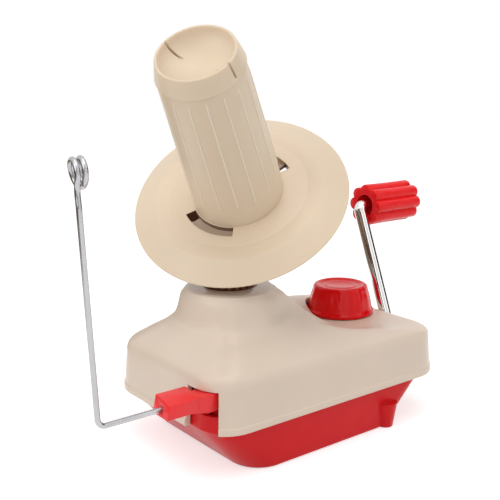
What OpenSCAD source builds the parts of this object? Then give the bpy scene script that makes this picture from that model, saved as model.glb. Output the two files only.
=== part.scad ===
// Hand-cranked yarn ball winder.
// The origin is on the table, under the rotor's vertical axis. X runs to the crank, Y to the back, Z up.

/* [Casing] */
// Rotor axis to the left end of the cover
cover_left = 44.8; // [43:0.2:52]
// Rotor axis to the crank end of the cover
cover_right = 116.6; // [114:0.2:126]
// Width of the cover, front to back
cover_width = 99; // [97:0.5:112]
// Plan corner radius of the cover
cover_corner = 20; // [17:0.5:23]
// Wall thickness of the cover
cover_wall = 2.4; // [1.8:0.1:3]
// Height of the cover's lower edge above the table
rim_z = 24.5; // [22:0.5:27]
// Height of the bead along the cover's lower edge
bead_h = 3.6; // [2:0.2:6]
// How far the bead stands proud of the wall
bead_out = 0.6; // [0.4:0.1:1.2]
// Height where the side walls turn into the crown
shoulder_z = 47.5; // [45:0.5:50]
// How far the walls lean in between the bead and the shoulder
wall_lean = 1.5; // [0.5:0.1:2.5]
// Height of the neck's top face
neck_z = 83.5; // [81:0.5:85]
// Outer radius of the neck at its top
neck_r = 22.5; // [21:0.5:24]
// Thickness of the neck's top plate
neck_plate = 9; // [7:0.5:10]

/* [Base tray] */
// Rotor axis to the left end of the tray's underside
tray_left = 20; // [14:0.5:26]
// Rotor axis to the crank end of the tray's underside
tray_right = 82.6; // [78:0.2:86]
// Step in from the cover's side to the side of the tray's underside
tray_inset = 3.9; // [3.8:0.1:5.5]
// How far the left end leans out on the way up
tray_flare_left = 21; // [14:0.5:21]
// How far the crank end leans out on the way up
tray_flare_right = 25.4; // [20:0.2:27]
// How far each long side leans out on the way up
tray_flare_side = 0.4; // [0.2:0.1:0.6]
// Plan corner radius of the tray
tray_corner = 16; // [16:0.5:22]
// Rounding of the tray's lower edge
tray_round = 1.5; // [1:0.1:4]
// Thickness of the tray's floor
floor_t = 3; // [2.4:0.1:4]
// Wall thickness of the tray
tray_wall = 2.4; // [1.8:0.1:3]
// How far the tray's wall stands up inside the cover
lip_h = 8; // [4:0.5:9]
// Radius of the two small feet at the crank end
foot_r = 4.5; // [3:0.1:5.5]
// Distance of the feet from the rotor axis along the tray
foot_x = 74; // [73:0.5:80]
// Step in from the tray's side to the middle of each foot
foot_inset = 1.6; // [1.6:0.1:5.6]

/* [Spindle] */
// Lean of the spindle from the vertical, in degrees
tilt = 41.2; // [39:0.2:42]
// Compass direction of the lean, in degrees from X
lean = 215.4; // [190:0.2:240]
// Height where the spindle's axis crosses the rotor's axis
cross_z = 147.8; // [147:0.2:152]
// Radius of the winding disc
disc_r = 58; // [56:0.5:62]
// Radius of the flat middle of the disc
disc_flat_r = 45; // [44:0.5:47]
// How far the flat middle stands above the rim
disc_rise = 5; // [4:0.2:6]
// Thickness of the disc
disc_t = 1.6; // [1.4:0.1:2.4]
// Distance of the disc's rim plane below the crossing point, along the spindle
disc_drop = 28.5; // [28:0.1:29]
// Inner radius of the two curved slots in the disc
slot_r = 24.6; // [24.6:0.1:27]
// Width of the curved slots
slot_w = 5.4; // [4:0.1:6]
// Angle that each slot takes up
slot_angle = 62; // [40:1:75]
// Angle over which each slot goes right through
slot_hole = 12; // [6:1:20]
// Depth of the ledge in each slot below the disc's top
slot_ledge = 2.9; // [2:0.1:3.4]
// Radius of the cone at its foot
cone_foot_r = 24.2; // [22.5:0.1:24.4]
// Radius of the collar's lower edge on the cone
cone_neck_r = 21.5; // [20:0.1:22.2]
// Radius of the cone's top edge
cone_top_r = 19.2; // [17:0.1:19.8]
// Height of the cone above the disc
cone_h = 93.8; // [88:0.2:98]
// Height of the bevelled collar at the cone's top
collar_h = 9.5; // [7:0.1:12]
// How far the collar stands out from the cone below it
collar_step = 0.6; // [0.2:0.1:1]
// Depth of the hollow in the cone's top
dish_depth = 9; // [5:0.2:11]
// Wall thickness of the cone
cone_wall = 2; // [1.4:0.1:2.6]
// Width of the slit that catches the yarn's end
slit_w = 1.6; // [1:0.1:2.4]
// Depth of the slit
slit_depth = 7.6; // [5:0.1:9]

/* [Gears] */
// Teeth of the fixed sun gear on the neck
sun_teeth = 20; // [18:1:22]
// Teeth of the ring gear under the disc
ring_teeth = 85; // [80:1:90]
// Teeth of the gear on the crank
drive_teeth = 42; // [36:1:45]
// Teeth of the pinion on the rotor shaft
pinion_teeth = 14; // [14:1:15]
// Pitch radius of the gear on the crank
drive_r = 27; // [25:0.5:28]
// Face width of the crank gear's teeth
drive_face = 8; // [6:0.5:9]
// Play between meshing teeth
tooth_play = 0.3; // [0.2:0.02:0.4]

/* [Shafts and crank] */
// Diameter of the rotor's bent rod
rotor_d = 6; // [5:0.1:6.6]
// Diameter of the crank's bent rod
crank_d = 7.6; // [6:0.1:7.8]
// Height of the crank's axis above the table
crank_z = 40; // [39:0.2:41]
// Distance of the crank's arm out from the cover's end
crank_off = 4.4; // [4.4:0.1:8]
// Length of the crank's arm
crank_arm = 74; // [60:0.5:90]
// Lean of the crank's arm to the back at rest, in degrees
crank_lean = 21.5; // [0:0.5:40]
// Length of the handle
grip_l = 38.6; // [34:0.2:60]
// Diameter over the handle's lobes
grip_d = 26; // [22:0.2:28]
// Number of lobes on the handle
grip_lobes = 8; // [6:1:10]

/* [Clamp] */
// Distance of the clamp's axis from the rotor axis
clamp_x = 88.8; // [87:0.2:90]
// Distance of the clamp's axis behind the crank's axis
clamp_y = 9; // [8.8:0.1:11]
// Height of the seat under the knob
seat_z = 50.5; // [50:0.1:52]
// Radius of the knob's foot
knob_r = 20; // [16:0.2:21]
// Radius of the knob's top
knob_top_r = 15.4; // [12:0.2:16]
// Height of the knob
knob_h = 17; // [13:0.2:20]
// Diameter of the clamp's threaded stud
stud_d = 6; // [5:0.1:6.4]
// How far the jaw opens
jaw_travel = 32; // [20:0.5:36]
// Length of the jaw, measured under the tray from the clamp's axis
jaw_l = 44; // [36:0.5:48]
// Width of the jaw
jaw_w = 16; // [12:0.5:17]
// Thickness of the jaw
jaw_t = 3; // [2:0.1:3.4]

/* [Yarn guide] */
// Diameter of the guide's wire
wire_d = 2.6; // [2:0.1:3]
// Distance of the guide wire's socket in from the cover's front
guide_inset = 13.5; // [12.5:0.1:14.5]
// Height of the guide wire's socket
guide_z = 42.6; // [42:0.1:43]
// Rotor axis to the upright stretch of the wire
guide_x = 97; // [90:0.5:110]
// Height of the eyelet's centre
eyelet_z = 152; // [120:1:170]
// Mean radius of the eyelet's turns
eyelet_r = 5.8; // [5.6:0.05:7]
// Step from one turn of the eyelet to the next
eyelet_pitch = 3.4; // [3.3:0.1:4]
// Number of turns in the eyelet
eyelet_turns = 1.75; // [1.5:0.25:2.5]
// Turn of the eyelet's axis from X to the front, in degrees
eyelet_yaw = 6; // [0:1:16]
// Rise of the eyelet's axis to the right, in degrees
eyelet_rise = 6; // [0:1:8]

/* [Fits] */
// Radial clearance of pieces that are pressed together
fit = 0.02; // [0.01:0.01:0.05]
// Radial clearance of a shaft that turns in its bearing
running = 0.06; // [0.04:0.01:0.1]
// Clearance between pieces that move past each other
gap = 0.4; // [0.3:0.05:0.6]

/* [Small parts] */
// reach of the crank bracket's foot past the bracket
bracket_pad = 4; // [2:0.5:8]
// thickness of the crank bracket's foot
bracket_pad_t = 3; // [2:0.5:6]
// length of the drive gear's hub
gear_hub_l = 8; // [5:0.5:12]
// wall of the drive gear's hub
gear_hub_wall = 5; // [2:0.5:7]
// length of the cut for the drive gear's bore
gear_bore_l = 40; // [30:1:60]
// wall of the crank's collar
crank_collar_wall = 3; // [1.5:0.5:5]
// length of the crank's collar
crank_collar_l = 4; // [2:0.5:8]
// wall of the handle's clip
clip_wall = 2; // [1:0.1:2.5]
// wall from the crank's end to the edge of the handle's cap seat
cap_wall = 2.6; // [2:0.1:4]
// thickness of the handle's cap
cap_t = 3; // [1:0.5:5]

/* [Hidden] */
$fn = 64;

red = [0.78, 0.16, 0.17];
ivory = [0.86, 0.79, 0.70];
brown = [0.20, 0.12, 0.08];
steel = [0.75, 0.76, 0.78];
brass = [0.72, 0.58, 0.30];
rubber = [0.12, 0.12, 0.12];

// Outlines: points on each corner arc, each long side and each end
corner_steps = 8;
side_steps = 9;
end_steps = 5;

// Crown of the cover: share of the way from the neck to the wall, then share of the neck's height.
// Towards the crank it falls straight to a level place for the knob.
crown = [[0, 1], [0.02, 0.97], [0.11, 0.85], [0.14, 0.72], [0.18, 0.605], [0.22, 0.54], [0.3, 0.48],
    [0.4, 0.41], [0.53, 0.345], [0.78, 0.21], [0.97, 0.075], [1, 0]];
crank_crown = [[0, 1], [0.02, 0.93], [0.05, 0.8], [0.1, 0.69], [0.21, 0.5], [0.34, 0.25], [0.44, 0.105],
    [0.52, 0.083], [0.94, 0.077], [0.98, 0.05], [1, 0]];
crown_steps = [0.98, 0.94, 0.78, 0.66, 0.52, 0.44, 0.34, 0.26, 0.21, 0.18, 0.14, 0.11, 0.08, 0.05, 0.02, 0];
inner_steps = [0.14, 0.18, 0.22, 0.3, 0.4, 0.5, 0.66, 0.78, 0.94];
level_dir = -6;
level_angle = 8;
blend_angle = 32;
wall_inset = bead_out + wall_lean;
neck_bore = 6;
socket_r = 9.5;
socket_step_r = 14.6;
socket_step = 1.5;

// Tray: its lip leans in as the cover's wall does
lip_lean = 0.4;
foot_h = 14;
foot_flare = 2;
recess_side = 2;
recess_roof = 2.4;

// How far a cut runs past the faces that it opens
past = 1;

// Screws between tray and cover
screw_x = [-8, 66];
screw_y = 34;
screw_r = 1.5;
screw_head_r = 3;
screw_head_h = 2;
screw_bite = 12;
screw_sink = 0.4;
screw_play = 0.1;
post_r = 4.5;

// Spindle stations, measured along the spindle from the crossing point
disc_top = disc_rise - disc_drop;
cone_top = disc_top + cone_h;
rotor_r = rotor_d / 2;
disc_boss_r = 8;
disc_boss_end = -33.6;
bush_r = rotor_r + 2;
cone_web = 38;
cone_web_t = 3;
cone_boss_h = 10;
clip_t = 1.2;
clip_gap = 0.3;
rotor_end = cone_web + cone_boss_h + 4;
cone_boss_r = bush_r + 2.4;
slit_angle = 67;
bush_rise = 3.5;
slot_end = 7.5;
slot_wall = 1.5;
slot_wall_angle = 3;
slot_floor = 2;
slot_flap = 4.6;

// Bevel gears on the crossing point
pressure = 25;
sun_cone = atan(sin(tilt) / (ring_teeth / sun_teeth - cos(tilt)));
ring_cone = sun_cone + tilt;
sun_far = (cross_z - neck_z + 0.5) / cos(sun_cone);
sun_face = 12;
ring_far = 61;
ring_face = 7;
ring_out = 50.2;
sun_module = 2 * sun_far * sin(sun_cone) / sun_teeth;
ring_module = 2 * ring_far * sin(ring_cone) / ring_teeth;

// Bevel gears on the crank's axis
pinion_r = drive_r * pinion_teeth / drive_teeth;
drive_far = norm([drive_r, pinion_r]);
drive_cone = atan(drive_r / pinion_r);
drive_module = 2 * drive_r / drive_teeth;
tip_share = 0.9;
root_share = 1.2;

// Bent rods
bend_lap = 0.3;
bend_swell = 0.03;

// Rotor rod: up the neck, out under the disc, then along the spindle
bend_r = 8;
rotor_foot = floor_t + 1.2;
bearing_h = 6;
knee_z = cross_z - 49.8;
elbow = -46;
collar_t = 1.4;

// Crank
crank_r = crank_d / 2;
crank_bend = 4.2;
crank_start = 7;
crank_x = cover_right + crank_off;
arm_dir = [0, sin(crank_lean), cos(crank_lean)];
arm_top = [crank_x, 0, crank_z] + crank_arm * arm_dir;
bracket_x = 20;
bracket_t = 6;
bracket_w = 18;
crank_wall_x = cover_right - bead_out - wall_lean * 0.1;
bush_wall_r = crank_r + 2.2;
bush_flange_r = crank_r + 4.2;
bush_flange_t = 0.8;
bush_l = 8;
grip_start = crank_x + crank_r + 0.8;
grip_hollow_r = 6.6;
grip_hollow = 8;
grip_pin_end = grip_start + grip_l - 5;

// Clamp
stud_r = stud_d / 2;
sleeve_r = stud_r + 2;
clamp_boss_r = 8;
clamp_boss_low = 8;
clamp_boss_top = 33;
pocket_r = knob_r + 1.6;
seat_r = knob_r + gap;
pocket_floor = 2.4;
jaw_low = 0.8;
pad_t = 1.6;
recess_z = jaw_low + jaw_t + pad_t + gap;
sleeve_hold = 8;
sleeve_low = clamp_boss_low + 2;
thread_hold = 4.5;
stud_top = sleeve_low + jaw_travel + thread_hold;

// Tray
tray_width = cover_width - 2 * tray_inset;
foot_span = tray_width - 2 * foot_inset;

// Yarn guide
wire_r = wire_d / 2;
guide_y = guide_inset - cover_width / 2;
block_w = 13;
block_l = 18;
block_low = guide_z - 3.4;
block_top = guide_z + 4.4;
block_x = -cover_left - 3.2;
arm_low = guide_z - 6.4;
arm_h = 9;
arm_w = 11;
block_tilt = 8;
end_lean = 2;
guide_post_r = 4;
guide_post_z = rim_z - 3;
guide_screw_l = 7;
pivot = [13.8 - cover_left, guide_y + 2];
pivot_r = 5.5;
socket_depth = 16;
guide_bend = 4;
guide_lean = 4.4;
cut_corner = [5.8 - cover_left, 5.9 - cover_width / 2];
cut_top = arm_low + arm_h + gap;
cut_back = guide_y + 12;
stem_top = eyelet_z - eyelet_r - 9.4;
stem = [-guide_x - guide_lean, guide_y, stem_top];
wire_sides = 8;
turn_rings = 24;

function along(a, b, share) = a + (b - a) * share;
function unit(v) = v / norm(v);

// A quarter arc, and the points strictly between two others
function quarter(centre, r, from) = [for (i = [0:corner_steps])
    let (a = from + 90 * i / corner_steps) centre + r * [cos(a), sin(a)]];
function between(p, q, n) = [for (i = [1:n]) along(p, q, i / (n + 1))];

// A rounded rectangle from x = left to x = right, counter-clockwise
function outline(left, right, half, r) =
    let (a = quarter([right - r, half - r], r, 0),
        b = quarter([left + r, half - r], r, 90),
        c = quarter([left + r, r - half], r, 180),
        d = quarter([right - r, r - half], r, 270),
        e = corner_steps)
    concat(a, between(a[e], b[0], side_steps), b, between(b[e], c[0], end_steps),
        c, between(c[e], d[0], side_steps), d, between(d[e], a[0], end_steps));
function lift(points, z) = [for (p = points) [p.x, p.y, z]];
function cover_outline(inset) = outline(inset - cover_left, cover_right - inset,
    cover_width / 2 - inset, cover_corner - inset);

// Height of the crown, a share of the way from the neck's circle to the wall, in the direction a
function ease(t) = let (u = max(0, min(1, t))) u * u * (3 - 2 * u);
function crankward(a) = ease((blend_angle - abs(a - level_dir)) / (blend_angle - level_angle));
function crown_height(share, a) = shoulder_z
    + (neck_z - shoulder_z) * along(lookup(share, crown), lookup(share, crank_crown), crankward(a));
function crown_ring(share, inset, top) = [for (p = cover_outline(wall_inset + inset))
    let (a = atan2(p.y, p.x), q = (neck_r - inset) * [cos(a), sin(a)], s = along(q, p, share))
    [s.x, s.y, min(crown_height(share, a) - inset, top)]];
function crown_at(x, y) = let (a = atan2(y, x), reach = (cover_width / 2 - wall_inset) / abs(sin(a)))
    crown_height((norm([x, y]) - neck_r) / (reach - neck_r), a);

// Ring of the tray's outside, which leans out from the underside to the cover's edge
function tray_ring(z, inset) = let (s = z / rim_z) lift(outline(
    inset - tray_left - tray_flare_left * s, tray_right + tray_flare_right * s - inset,
    tray_width / 2 + tray_flare_side * s - inset, tray_corner - inset), z);

// Faces between stacked rings of n points, as triangles
function bands(rings, n, closed) = [for (i = [0:rings - (closed ? 1 : 2)], j = [0:n - 1])
    let (k = (i + 1) % rings, m = (j + 1) % n, a = i * n + j, b = k * n + j, c = k * n + m, d = i * n + m)
    each [[a, b, c], [a, c, d]]];
function flat(lists) = [for (l = lists) each l];

module closed_loft(rings) {
    n = len(rings[0]);
    polyhedron(flat(rings), bands(len(rings), n, true), convexity = 10);
}

// Stacked rings with a fan of triangles from the middle of the first ring and of the last
function middle(points) = [for (p = points) 1] * points / len(points);
module capped_loft(rings) {
    n = len(rings[0]);
    last = (len(rings) - 1) * n;
    foot = last + n;
    caps = [for (j = [0:n - 1]) let (m = (j + 1) % n) each [[foot, j, m], [foot + 1, last + m, last + j]]];
    polyhedron(concat(flat(rings), [middle(rings[0]), middle(rings[len(rings) - 1])]),
        concat(bands(len(rings), n, false), caps), convexity = 10);
}

// Bevel tooth flanks on the back cone: half a tooth's angle at height h over the pitch line
function inv(a) = tan(a) * 180 / PI - a;
function half_tooth(h, teeth, cone, far, play) =
    let (r = far * tan(cone), base = r * cos(pressure), here = max(r + h, base))
    (90 * cos(cone) / teeth - play / r * 45 / PI + inv(pressure) - inv(acos(base / here))) / cos(cone);
function bevel_point(h, a, cone, far) = let (r = far * sin(cone) + h * cos(cone))
    [r * cos(a), r * sin(a), far * cos(cone) - h * sin(cone)];
function bevel_ring(teeth, cone, far, tip, root, play) =
    let (heights = [-root, 0, tip], n = len(heights) - 1)
    [for (k = [0:teeth - 1], i = [0:2 * n + 1])
        let (h = heights[i <= n ? i : 2 * n + 1 - i], side = i <= n ? -1 : 1)
        bevel_point(h, 360 * k / teeth + side * half_tooth(h, teeth, cone, far, play), cone, far)];

// A bevel gear with its apex at the origin, on the Z axis
module bevel_gear(teeth, cone, far, face, module_size) {
    heel = bevel_ring(teeth, cone, far, tip_share * module_size, root_share * module_size, tooth_play);
    capped_loft([heel * ((far - face) / far), heel]);
}

// Places children at p, with their Z axis along d
module aim(p, d) {
    w = unit(d);
    s = unit(cross(abs(w.z) < 0.9 ? [0, 0, 1] : [1, 0, 0], w));
    t = cross(w, s);
    multmatrix([[s.x, t.x, w.x, p.x], [s.y, t.y, w.y, p.y], [s.z, t.z, w.z, p.z], [0, 0, 0, 1]]) children();
}

// A round rod along straight runs, bent at each inner point. A bend is a hair thicker than the rod,
// and each straight run reaches a little way into it.
function turn_angle(a, b, c) = acos(unit(b - a) * unit(c - b));
module bent_rod(points, r, bend) {
    last = len(points) - 1;
    trims = [for (i = [0:last]) i == 0 || i == last ? 0
        : bend * tan(turn_angle(points[i - 1], points[i], points[i + 1]) / 2)];
    into = [for (i = [0:last]) i == 0 || i == last ? 0 : bend_lap];
    for (i = [0:last - 1]) {
        d = unit(points[i + 1] - points[i]);
        run = norm(points[i + 1] - points[i]) - trims[i] - trims[i + 1];
        aim(points[i] + (trims[i] - into[i]) * d, d) cylinder(h = run + into[i] + into[i + 1], r = r);
    }
    for (i = [1:last - 1]) {
        d = unit(points[i] - points[i - 1]);
        e = unit(points[i + 1] - points[i]);
        turn = turn_angle(points[i - 1], points[i], points[i + 1]);
        n = unit(e - d * (d * e));
        c = points[i] - trims[i] * d + bend * n;
        z = cross(-n, d);
        multmatrix([[-n.x, d.x, z.x, c.x], [-n.y, d.y, z.y, c.y], [-n.z, d.z, z.z, c.z], [0, 0, 0, 1]])
            rotate_extrude(angle = turn) translate([bend, 0]) circle(r + bend_swell);
    }
}

module tube(r, bore, h) {
    difference() {
        cylinder(h = h, r = r);
        translate([0, 0, -1]) cylinder(h = h + 2, r = bore);
    }
}

// Frames: the spindle's own axes, and the clamp's
module on_spindle(z = 0) rotate([0, 0, lean]) translate([0, 0, cross_z]) rotate([0, tilt, 0])
    translate([0, 0, z]) children();
module on_clamp(z = 0) translate([clamp_x, clamp_y, z]) children();
module at_screws() for (x = screw_x, y = [-screw_y, screw_y]) translate([x, y, 0]) children();
function spindle_point(s) = [0, 0, cross_z] + s * [sin(tilt) * cos(lean), sin(tilt) * sin(lean), cos(tilt)];

module tray_shell() {
    edge = [for (a = [0, 30, 60, 90]) tray_ring(tray_round * (1 - cos(a)), tray_round * (1 - sin(a)))];
    capped_loft(concat(edge, [tray_ring(rim_z, 0), lift(tray_ring(rim_z, lip_lean), rim_z + lip_h),
        lift(tray_ring(rim_z, lip_lean + tray_wall), rim_z + lip_h), tray_ring(rim_z, tray_wall),
        tray_ring(floor_t, tray_wall)]));
}

module base_tray() color(red) difference() {
    union() {
        tray_shell();
        for (y = [-1, 1]) translate([foot_x, y * foot_span / 2, 0])
            cylinder(h = foot_h, r1 = foot_r, r2 = foot_r + foot_flare);
        at_screws() translate([0, 0, floor_t / 2]) cylinder(h = rim_z - floor_t / 2, r = post_r);
        on_clamp(clamp_boss_low) cylinder(h = clamp_boss_top - clamp_boss_low, r = clamp_boss_r);
        jaw_space(jaw_l + past + recess_side, past + recess_side, floor_t / 2, recess_z + recess_roof, 0);
        translate([pivot.x, pivot.y, guide_post_z]) cylinder(h = arm_low - guide_post_z, r = guide_post_r);
    }
    jaw_space(jaw_l + past, past, -past, recess_z, tray_flare_right);
    on_clamp(sleeve_low - gap) cylinder(h = clamp_boss_top, r = sleeve_r + running);
    on_clamp(-past) cylinder(h = clamp_boss_top, r = stud_r + gap);
    at_screws() translate([0, 0, -past]) cylinder(h = rim_z + 2 * past, r = screw_r + screw_play);
    at_screws() translate([0, 0, -past])
        cylinder(h = screw_sink + screw_head_h + past, r = screw_head_r + gap);
    translate([pivot.x, pivot.y, arm_low - guide_screw_l - past])
        cylinder(h = guide_screw_l + 2 * past, r = screw_r + fit);
}

// Block over the jaw under the tray: how far it reaches to the left, its side room, heights and right end
module jaw_space(left, side, low, high, right) {
    translate([clamp_x - left, clamp_y - jaw_w / 2 - side, low])
        cube([left + right, jaw_w + 2 * side, high - low]);
}

module cover_shell() {
    outside = concat([lift(cover_outline(0), rim_z), lift(cover_outline(0), rim_z + bead_h),
        lift(cover_outline(bead_out), rim_z + bead_h + bead_out),
        lift(cover_outline(wall_inset), shoulder_z)],
        [for (s = crown_steps) crown_ring(s, 0, neck_z)]);
    hole = [for (z = [neck_z, neck_z - neck_plate])
        [for (p = cover_outline(wall_inset)) let (q = neck_bore * unit(p)) [q.x, q.y, z]]];
    inside = [for (s = inner_steps) crown_ring(s, cover_wall, neck_z - neck_plate - gap)];
    walls = [lift(cover_outline(wall_inset + cover_wall), shoulder_z - cover_wall),
        lift(cover_outline(bead_out + cover_wall), rim_z)];
    closed_loft(concat(outside, hole, inside, walls));
}

// Opening at the front left corner, where the guide's arm comes out
module guide_opening() {
    reach = 8;
    translate([0, 0, rim_z - 5]) linear_extrude(cut_top - rim_z + 5)
        polygon([[-cover_left - 15, cut_back], [cut_corner.x + reach, cut_back],
            [cut_corner.x + reach, cut_corner.y + reach], [cut_corner.x - reach, cut_corner.y - reach],
            [-cover_left - 15, cut_corner.y - reach]]);
}

module cover() color(ivory) difference() {
    union() {
        cover_shell();
        for (x = screw_x, y = [-screw_y, screw_y]) translate([x, y, rim_z])
            cylinder(h = crown_at(x, y + sign(y) * post_r) - cover_wall / 2 - rim_z, r = post_r);
        on_clamp(seat_z - pocket_floor) cylinder(h = pocket_floor, r = seat_r);
    }
    on_clamp(seat_z) cylinder(h = neck_z - seat_z, r = pocket_r);
    on_clamp(seat_z - pocket_floor - past) cylinder(h = pocket_floor + 2 * past, r = sleeve_r + gap);
    translate([0, 0, neck_z - neck_plate - past]) cylinder(h = neck_plate + 2 * past, r = socket_r);
    translate([0, 0, neck_z - socket_step]) cylinder(h = socket_step + past, r = socket_step_r);
    translate([crank_wall_x - bush_l, 0, crank_z]) rotate([0, 90, 0])
        cylinder(h = bush_l + bush_flange_t + past, r = bush_wall_r + fit);
    at_screws() translate([0, 0, rim_z - past]) cylinder(h = screw_bite + 2 * past, r = screw_r + fit);
    guide_opening();
}

module cover_screws() color(steel) at_screws() {
    translate([0, 0, screw_sink]) cylinder(h = screw_head_h, r = screw_head_r);
    translate([0, 0, screw_sink]) cylinder(h = rim_z + screw_bite, r = screw_r);
}

module sun_gear() color(brown) difference() {
    union() {
        rotate([0, 0, lean]) translate([0, 0, cross_z]) rotate([180, 0, 0])
            bevel_gear(sun_teeth, sun_cone, sun_far, sun_face, sun_module);
        translate([0, 0, neck_z - neck_plate]) cylinder(h = neck_plate, r = socket_r - fit);
        translate([0, 0, neck_z - socket_step]) cylinder(h = socket_step, r = socket_step_r - 0.2);
    }
    translate([0, 0, neck_z - neck_plate - 1]) cylinder(h = 40, r = bush_r + fit);
    translate([0, 0, neck_z + bush_rise]) cylinder(h = 40, r = bush_r + 1.8);
}

module neck_bush() color(brass) translate([0, 0, neck_z - neck_plate])
    tube(bush_r, rotor_r + running, neck_plate + bush_rise);

module foot_bearing() color(brass) difference() {
    translate([0, 0, floor_t]) cylinder(h = bearing_h, r = bush_r + 3);
    translate([0, 0, rotor_foot - 0.1]) cylinder(h = bearing_h, r = rotor_r + running);
}

module crank_bracket() color(red) difference() {
    union() {
        translate([bracket_x, -bracket_w / 2, floor_t]) cube([bracket_t, bracket_w, crank_z - floor_t]);
        translate([bracket_x, 0, crank_z]) rotate([0, 90, 0]) cylinder(h = bracket_t, r = bracket_w / 2);
        translate([bracket_x, -bracket_w / 2 - bracket_pad, floor_t])
            cube([bracket_t + 2 * bracket_pad, bracket_w + 2 * bracket_pad, bracket_pad_t]);
    }
    translate([bracket_x - past, 0, crank_z]) rotate([0, 90, 0])
        cylinder(h = bracket_t + 2 * past, r = crank_r + running);
}

module crank_bush() color(brass) translate([crank_wall_x, 0, crank_z]) rotate([0, 90, 0]) difference() {
    union() {
        translate([0, 0, -bush_l]) cylinder(h = bush_l + bush_flange_t, r = bush_wall_r);
        cylinder(h = bush_flange_t, r = bush_flange_r);
    }
    translate([0, 0, -bush_l - past]) cylinder(h = bush_l + bush_flange_t + 2 * past, r = crank_r + running);
}

// Holder of the guide's wire: a block outside the cover, and a lower arm from it to the pivot
module arm_plan() {
    translate([block_x - block_l - past, guide_y - block_w / 2]) square([block_l + past, block_w]);
    polygon([[block_x - past, guide_y - arm_w / 2], [pivot.x, pivot.y - arm_w / 2],
        [pivot.x, pivot.y + arm_w / 2], [block_x - past, guide_y + arm_w / 2]]);
    translate(pivot) circle(pivot_r);
}
block_rise = block_w * tan(block_tilt);
module arm_side() {
    right = pivot.x + pivot_r + past;
    top = block_top + block_rise;
    polygon([[block_x - block_l, block_low], [block_x - block_l / 4, block_low],
        [block_x + block_l / 3, arm_low], [right, arm_low], [right, arm_low + arm_h],
        [block_x + past, arm_low + arm_h], [block_x, top], [block_x - block_l + end_lean, top]]);
}
// The block's top falls to the front
module arm_across() {
    front = guide_y - block_w;
    back = guide_y + block_w;
    polygon([[front, arm_low - past], [back, arm_low - past], [back, block_top + block_rise],
        [front, block_top - block_rise]]);
}
module guide_arm() color(red) difference() {
    intersection() {
        translate([0, 0, arm_low - past]) linear_extrude(block_top + block_rise - arm_low + past) arm_plan();
        translate([0, guide_y + block_w, 0]) rotate([90, 0, 0]) linear_extrude(2 * block_w) arm_side();
        translate([block_x - block_l - past, 0, 0]) rotate([90, 0, 90])
            linear_extrude(pivot.x + pivot_r - block_x + block_l + 2 * past) arm_across();
    }
    translate([block_x - block_l - past, guide_y, guide_z]) rotate([0, 90, 0])
        cylinder(h = socket_depth + past, r = wire_r + running);
    translate([pivot.x, pivot.y, arm_low - past]) cylinder(h = arm_h + 2 * past, r = screw_r + screw_play);
}

module guide_screw() color(steel) translate([pivot.x, pivot.y, arm_low]) {
    translate([0, 0, arm_h]) cylinder(h = screw_head_h, r = screw_head_r);
    translate([0, 0, -guide_screw_l]) cylinder(h = arm_h + guide_screw_l + past, r = screw_r);
}

module rotor_shaft() color(steel) bent_rod([[0, 0, rotor_foot], [0, 0, knee_z], spindle_point(elbow),
    spindle_point(rotor_end)], rotor_r, bend_r);

module pinion() color(brown) difference() {
    union() {
        translate([0, 0, crank_z]) rotate([180, 0, 180 / pinion_teeth])
            bevel_gear(pinion_teeth, 90 - drive_cone, drive_far, drive_face, drive_module);
        translate([0, 0, floor_t + bearing_h + clip_gap])
            cylinder(h = crank_z - drive_r - floor_t - bearing_h, r = pinion_r - 3);
    }
    translate([0, 0, floor_t]) cylinder(h = 40, r = rotor_r + fit);
}

module spindle_collar() color(steel) on_spindle(disc_boss_end - clip_gap - collar_t)
    tube(rotor_r + 2.6, rotor_r + fit, collar_t);

module rotor_clip() color(steel) on_spindle(cone_web + cone_boss_h + clip_gap)
    tube(rotor_r + 2.4, rotor_r + fit, clip_t);

// Disc's underside, as a height at radius r
function disc_under(r) = disc_top - disc_t - disc_rise * max(0, r - disc_flat_r) / (disc_r - disc_flat_r);

// A piece of a ring about the spindle, between two radii, two heights and two angles
module arc_block(inner, outer, low, high, from, to) {
    rotate([0, 0, from]) rotate_extrude(angle = to - from) translate([inner, low])
        square([outer - inner, high - low]);
}

// Slot: a channel with a ledge, open below at its first end, and the box round it under the disc
slot_start = slot_end - slot_angle;
ledge_z = disc_top - slot_ledge;
module slot_box() {
    inner = slot_r - slot_wall;
    outer = slot_r + slot_w + slot_wall;
    first = slot_start - slot_wall_angle;
    last = slot_end + slot_wall_angle;
    arc_block(inner, outer, ledge_z - slot_floor, disc_under(0) + disc_t / 2, first, last);
    arc_block(inner, outer, ledge_z - slot_flap, ledge_z, first, slot_start + slot_hole + slot_wall_angle);
}
module slot_cut() {
    outer = slot_r + slot_w;
    arc_block(slot_r, outer, ledge_z, disc_top + past, slot_start, slot_end);
    arc_block(slot_r, outer, ledge_z - slot_flap - past, disc_top + past, slot_start, slot_start + slot_hole);
}

module winding_disc() color(ivory) on_spindle() difference() {
    union() {
        rotate_extrude($fn = 128) polygon([[0, disc_top], [disc_flat_r, disc_top],
            [disc_r, disc_top - disc_rise], [disc_r, disc_under(disc_r)],
            [disc_flat_r, disc_under(0)], [0, disc_under(0)]]);
        translate([0, 0, disc_boss_end]) cylinder(h = disc_top - disc_boss_end - disc_t / 2, r = disc_boss_r);
        for (a = [0, 180]) rotate([0, 0, a]) slot_box();
    }
    translate([0, 0, disc_boss_end - past])
        cylinder(h = disc_top - disc_boss_end + 2 * past, r = bush_r + fit);
    for (a = [0, 180]) rotate([0, 0, a]) slot_cut();
}

// Radius of the cone's outside at a height along the spindle
function cone_side(z) = along(cone_foot_r, cone_neck_r - collar_step,
    (z - disc_top) / (cone_h - collar_h));

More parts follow.
